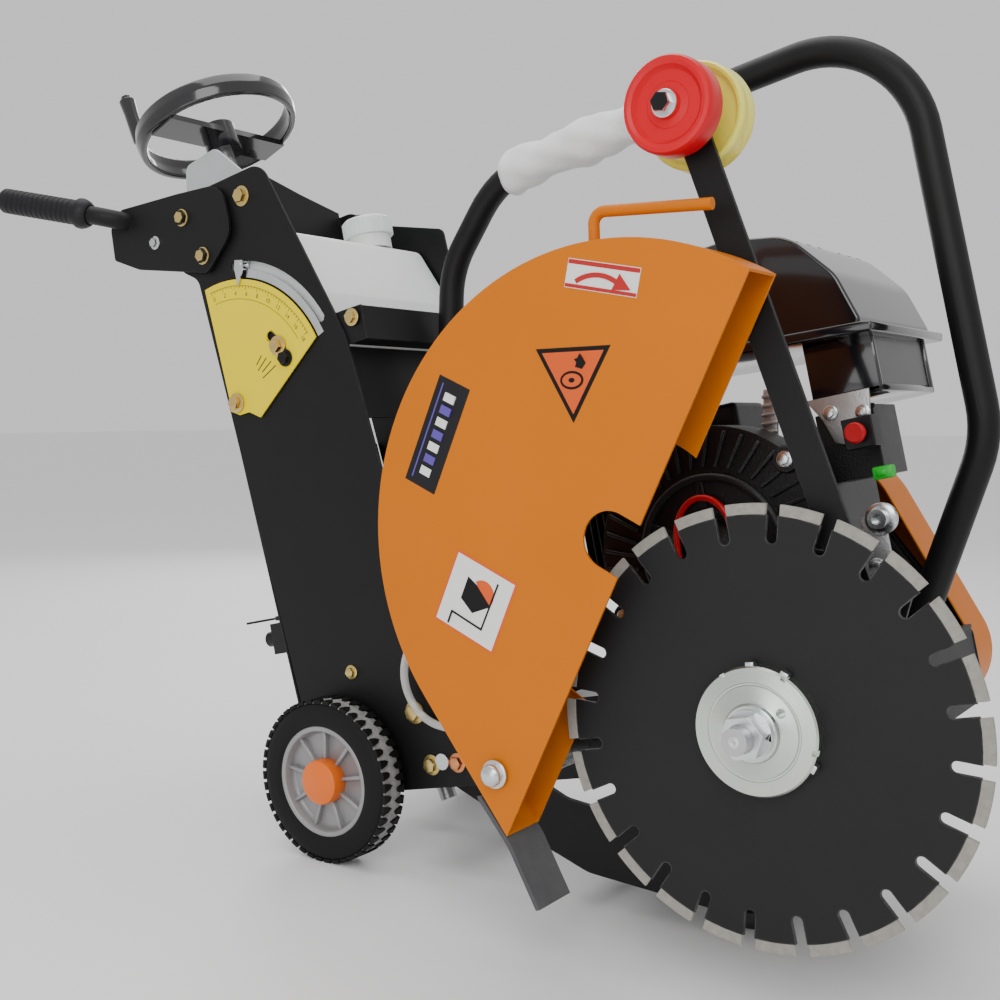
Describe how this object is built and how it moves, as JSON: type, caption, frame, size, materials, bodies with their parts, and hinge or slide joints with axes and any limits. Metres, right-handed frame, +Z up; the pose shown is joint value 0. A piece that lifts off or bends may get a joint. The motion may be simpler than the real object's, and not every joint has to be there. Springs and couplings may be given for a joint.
{
  "type": "walk-behind floor saw",
  "caption": "Walk-behind petrol floor saw with a slotted disc blade, hinged orange guard, handwheel depth control, water tank and folding sight guide.",
  "frame": {"origin": "on the floor under the middle of the machine's bounding box", "axes": "+X forwards, in the direction of cutting; +Y to the machine's left, along the blade shaft; +Z up"},
  "size_m": [1.375, 0.5894, 1.0234],
  "materials": {
    "black_paint": "black powder coat, fine orange-peel, chips at edges",
    "orange_paint": "orange powder coat, satin gloss",
    "zinc": "bright zinc plating with a faint iridescent cast",
    "bare_steel": "turned and ground steel",
    "blade_steel": "black coated saw steel, fine radial grinding",
    "segment": "sintered diamond segment, sandy grey-beige",
    "tyre_rubber": "solid black rubber with a block tread",
    "hub_grey": "grey moulded plastic, spoked and dished",
    "black_rubber": "matt black rubber",
    "tank_white": "white blow-moulded polyethylene, waxy",
    "scale_yellow": "yellow plate with printed graduations",
    "wheel_red": "red polyurethane, glossy",
    "wheel_yellow": "pale translucent yellow polyurethane",
    "black_plastic": "black moulded plastic, lightly textured",
    "engine_black": "black painted aluminium casting",
    "tank_black": "gloss black fuel tank",
    "red_plastic": "red moulded plastic",
    "brass": "machined brass",
    "hose_clear": "clear reinforced vinyl hose, slightly yellowed",
    "belt_rubber": "wrapped V-belt rubber"
  },
  "bodies": {
    "chassis": {"side_plate_right": "black_paint", "side_plate_left": "black_paint", "deck": "black_paint", "column_cover": "black_paint", "cross_bar": "black_paint", "red_lead": "red_plastic", "hoop": "black_paint", "water_tank": "tank_white", "guard_post": "zinc", "carriage_pin": "zinc", "bearing_right": "engine_black", "bearing_left": "engine_black", "belt_guard": "orange_paint", "engine_block": "engine_black", "engine_cowl": "black_plastic", "fuel_tank": "tank_black", "air_box": "black_plastic", "muffler": "engine_black", "carburettor": "engine_black", "screw_yoke": "zinc", "guide_bracket": "black_paint", "valve_body": "brass", "water_hose": "hose_clear", "stop_box": "black_plastic", "drive_belts": "belt_rubber"},
    "blade": {"blade_core": "blade_steel", "blade_segments": "segment", "flange_outer": "zinc", "flange_inner": "zinc", "arbor_shaft": "bare_steel", "arbor_nut": "zinc", "driven_pulley": "engine_black"},
    "engine_shaft": {"crankshaft": "bare_steel", "drive_pulley": "engine_black"},
    "rear_wheel_right": {"rear_tyre_right": "tyre_rubber", "rear_hub_right": "hub_grey"},
    "rear_wheel_left": {"rear_tyre_left": "tyre_rubber", "rear_hub_left": "hub_grey"},
    "carriage": {"carriage_frame": "black_paint"},
    "front_wheel_right": {"front_wheel_right": "tyre_rubber"},
    "front_wheel_left": {"front_wheel_left": "tyre_rubber"},
    "screw": {"lift_screw": "bare_steel", "handwheel": "black_plastic"},
    "crank_knob": {"crank_knob": "black_plastic"},
    "nut": {"lift_nut": "brass"},
    "pointer": {"depth_pointer": "zinc"},
    "scale": {"depth_scale": "scale_yellow"},
    "guard": {"guard_shell": "orange_paint", "guard_flap": "black_rubber"},
    "guide": {"guide_arm": "black_paint"},
    "guide_wheel_red": {"guide_wheel_red": "wheel_red"},
    "guide_wheel_yellow": {"guide_wheel_yellow": "wheel_yellow"},
    "handlebar": {"handlebar_frame": "black_paint", "grip_right": "black_rubber", "grip_left": "black_rubber"},
    "valve_lever": {"valve_lever": "black_plastic"},
    "throttle_lever": {"throttle_lever": "zinc"},
    "stop_button": {"stop_button": "red_plastic"},
    "fuel_cap": {"fuel_cap": "black_plastic"},
    "tank_cap": {"tank_cap": "tank_white"}
  },
  "joints": [
    {"name": "blade_spin", "type": "hinge", "parent": "chassis", "child": "blade", "pos_m": [0.48752, -0.23669, 0.27081], "axis": [0, 1, 0], "continuous": true},
    {"name": "engine_spin", "type": "hinge", "parent": "chassis", "child": "engine_shaft", "pos_m": [0.38455, 0.20931, 0.41187], "axis": [0, 1, 0], "continuous": true},
    {"name": "rear_right_spin", "type": "hinge", "parent": "chassis", "child": "rear_wheel_right", "pos_m": [-0.12401, -0.12069, 0.1], "axis": [0, 1, 0], "continuous": true},
    {"name": "rear_left_spin", "type": "hinge", "parent": "chassis", "child": "rear_wheel_left", "pos_m": [-0.12401, 0.22331, 0.1], "axis": [0, 1, 0], "continuous": true},
    {"name": "handwheel_spin", "type": "hinge", "parent": "chassis", "child": "screw", "pos_m": [-0.49233, 0.05131, 0.96212], "axis": [-0.4147, 0, 0.91], "range_deg": [0, 3683.8]},
    {"name": "nut_travel", "type": "slide", "parent": "chassis", "child": "nut", "axis": [0.4147, 0, -0.91], "range_m": [0, 0.05156]},
    {"name": "carriage_swing", "type": "hinge", "parent": "chassis", "child": "carriage", "pos_m": [0.02539, 0.05131, 0.13763], "axis": [0, -1, 0], "range_deg": [0, 22.45]},
    {"name": "front_right_spin", "type": "hinge", "parent": "carriage", "child": "front_wheel_right", "pos_m": [0.38753, -0.02369, 0.06253], "axis": [0, 1, 0], "continuous": true},
    {"name": "front_left_spin", "type": "hinge", "parent": "carriage", "child": "front_wheel_left", "pos_m": [0.38753, 0.12631, 0.06253], "axis": [0, 1, 0], "continuous": true},
    {"name": "crank_knob_spin", "type": "hinge", "parent": "screw", "child": "crank_knob", "pos_m": [-0.57507, -0.01236, 0.92441], "axis": [-0.4147, 0, 0.91], "continuous": true},
    {"name": "pointer_swing", "type": "hinge", "parent": "chassis", "child": "pointer", "pos_m": [-0.3063, -0.08869, 0.5619], "axis": [0, 1, 0], "range_deg": [0, 47.1]},
    {"name": "scale_adjust", "type": "hinge", "parent": "chassis", "child": "scale", "pos_m": [-0.3063, -0.09269, 0.5619], "axis": [0, 1, 0], "range_deg": [0, 22]},
    {"name": "guard_fold", "type": "hinge", "parent": "chassis", "child": "guard", "pos_m": [0.23254, -0.25069, 0.19984], "axis": [0, 1, 0], "range_deg": [0, 46.65]},
    {"name": "guide_fold", "type": "hinge", "parent": "chassis", "child": "guide", "pos_m": [0.56232, -0.21419, 0.40006], "axis": [0, 1, 0], "range_deg": [0, 160]},
    {"name": "guide_red_spin", "type": "hinge", "parent": "guide", "child": "guide_wheel_red", "pos_m": [0.39723, -0.23669, 0.82132], "axis": [0, 1, 0], "continuous": true},
    {"name": "guide_yellow_spin", "type": "hinge", "parent": "guide", "child": "guide_wheel_yellow", "pos_m": [0.39723, -0.18869, 0.82132], "axis": [0, 1, 0], "continuous": true},
    {"name": "handlebar_tilt", "type": "hinge", "parent": "chassis", "child": "handlebar", "pos_m": [-0.3625, 0.05131, 0.75532], "axis": [0, 1, 0], "range_deg": [-12, 12]},
    {"name": "valve_turn", "type": "hinge", "parent": "chassis", "child": "valve_lever", "pos_m": [-0.25861, -0.06469, 0.27748], "axis": [-0.2164, 0, 0.9763], "range_deg": [0, 90]},
    {"name": "throttle_turn", "type": "hinge", "parent": "chassis", "child": "throttle_lever", "pos_m": [0.48939, -0.03869, 0.53959], "axis": [0, 1, 0], "range_deg": [0, 40]},
    {"name": "stop_press", "type": "slide", "parent": "chassis", "child": "stop_button", "axis": [0, 1, 0], "range_m": [0, 0.003], "stiffness_N_per_m": 400, "springref_m": -0.001},
    {"name": "fuel_cap_turn", "type": "hinge", "parent": "chassis", "child": "fuel_cap", "pos_m": [0.30661, 0.04831, 0.71723], "axis": [-0.2164, 0, 0.9763], "range_deg": [0, 90]},
    {"name": "tank_cap_turn", "type": "hinge", "parent": "chassis", "child": "tank_cap", "pos_m": [-0.26605, 0.12131, 0.80538], "axis": [-0.2164, 0, 0.9763], "range_deg": [0, 540]}
  ],
  "couplings": [
    {"joint": "engine_spin", "follows": "blade_spin", "ratio": 1.2609},
    {"joint": "nut_travel", "follows": "handwheel_spin", "m_per_rad": 0.00079577},
    {"joint": "carriage_swing", "follows": "handwheel_spin", "ratio": 0.0060807},
    {"joint": "pointer_swing", "follows": "handwheel_spin", "ratio": 0.012759}
  ]
}
